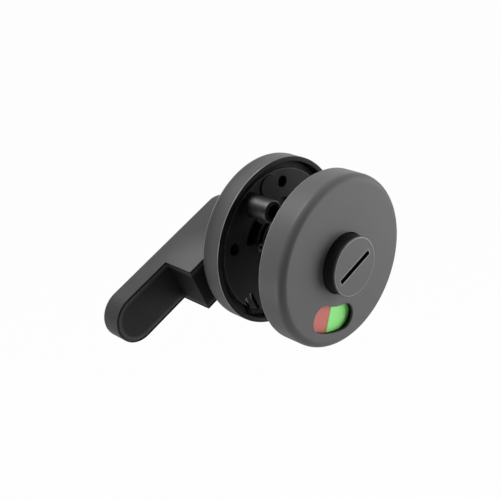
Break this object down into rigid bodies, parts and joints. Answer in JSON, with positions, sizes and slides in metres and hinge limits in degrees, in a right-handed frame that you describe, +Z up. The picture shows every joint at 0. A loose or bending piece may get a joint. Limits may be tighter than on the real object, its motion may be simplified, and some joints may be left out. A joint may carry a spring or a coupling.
{
  "type": "bathroom thumb turn lock",
  "caption": "Thumb turn and coin release on round roses, joined by a square spindle, with a window that shows red or green.",
  "frame": {"origin": "on the spindle's axis, in the plane where the outer rose meets the door panel", "axes": "+Y along the spindle from the coin release to the thumb turn, +Z up, +X to the right seen from the coin release side"},
  "size_m": [0.0706, 0.0576, 0.0575],
  "materials": {
    "black_metal": "satin black coating",
    "black_nylon": "moulded matt",
    "post_steel": "zinc plated",
    "spring_steel": "oiled",
    "grey_nylon": "moulded",
    "insert_brass": "turned",
    "label_red": "printed",
    "label_green": "printed"
  },
  "bodies": {
    "root": {"inner_rose_cover": "black_metal", "inner_base_plate": "black_nylon", "fixing_post_upper": "post_steel", "fixing_post_lower": "post_steel", "turn_bush": "grey_nylon", "outer_rose_cover": "black_metal", "outer_base_plate": "black_nylon", "bolt_insert_upper": "insert_brass", "bolt_insert_lower": "insert_brass"},
    "turn": {"thumb_turn_lever": "black_metal", "turn_friction_washer": "spring_steel", "turn_thrust_washer": "spring_steel", "turn_circlip": "spring_steel", "release_button": "black_metal", "indicator_disc": "black_nylon", "indicator_red_label": "label_red", "indicator_green_label": "label_green", "release_friction_washer": "spring_steel", "release_thrust_washer": "spring_steel", "release_circlip": "spring_steel", "spindle": "post_steel"}
  },
  "joints": [
    {"name": "turn_spin", "type": "hinge", "parent": "root", "child": "turn", "pos_m": [0, 0, 0], "axis": [0, -1, 0], "range_deg": [-32.7, 57.3]}
  ]
}
